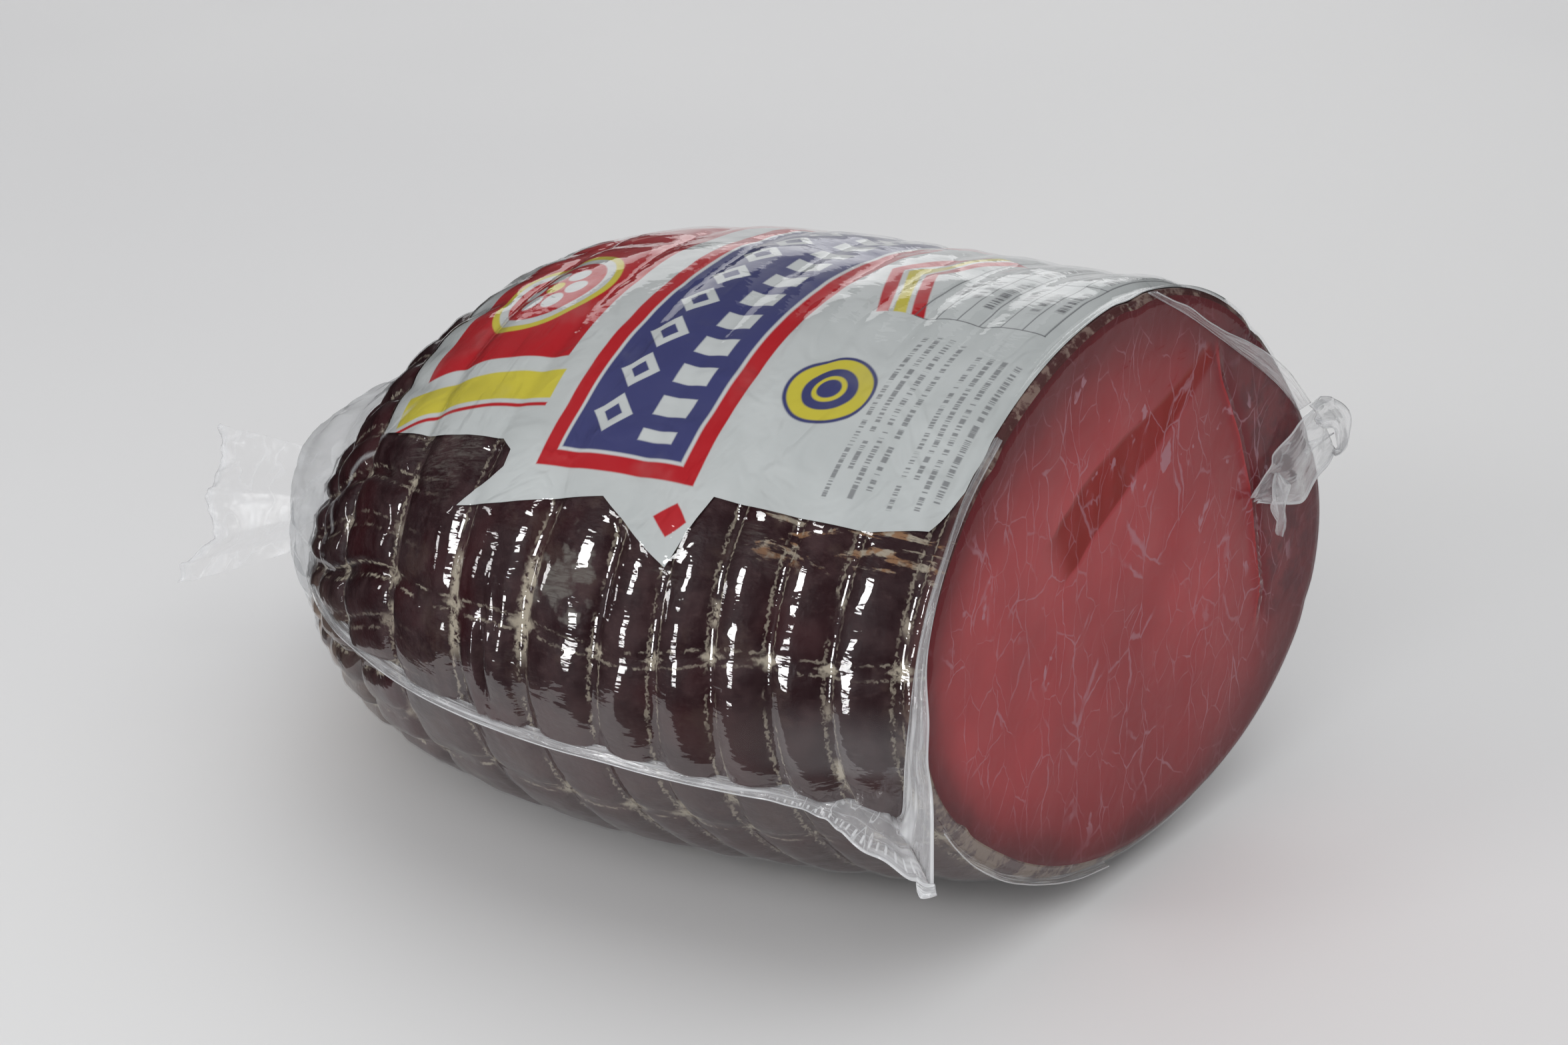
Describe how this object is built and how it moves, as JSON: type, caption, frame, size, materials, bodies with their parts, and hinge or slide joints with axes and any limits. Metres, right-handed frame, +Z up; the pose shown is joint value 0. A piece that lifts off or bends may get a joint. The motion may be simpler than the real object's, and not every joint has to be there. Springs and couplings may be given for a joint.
{
  "type": "vacuum-packed cured beef",
  "caption": "Half of a large air-dried beef round with net marks in its dark rind and a flat cut face, under a draped paper label in a tight clear vacuum bag.",
  "frame": {"origin": "middle of the bounding box in plan, on the surface the part lies on", "axes": "+X from the gathered end of the bag towards the cut face, along the meat; +Y towards the far side, away from the side with the label's pointed flap; +Z up"},
  "size_m": [0.2512, 0.1704, 0.1194],
  "materials": {
    "meat": "satin",
    "label": "satin",
    "film": "gloss"
  },
  "bodies": {
    "root": {"cured_meat": "meat", "paper_label": "label", "vacuum_bag": "film"}
  },
  "joints": []
}
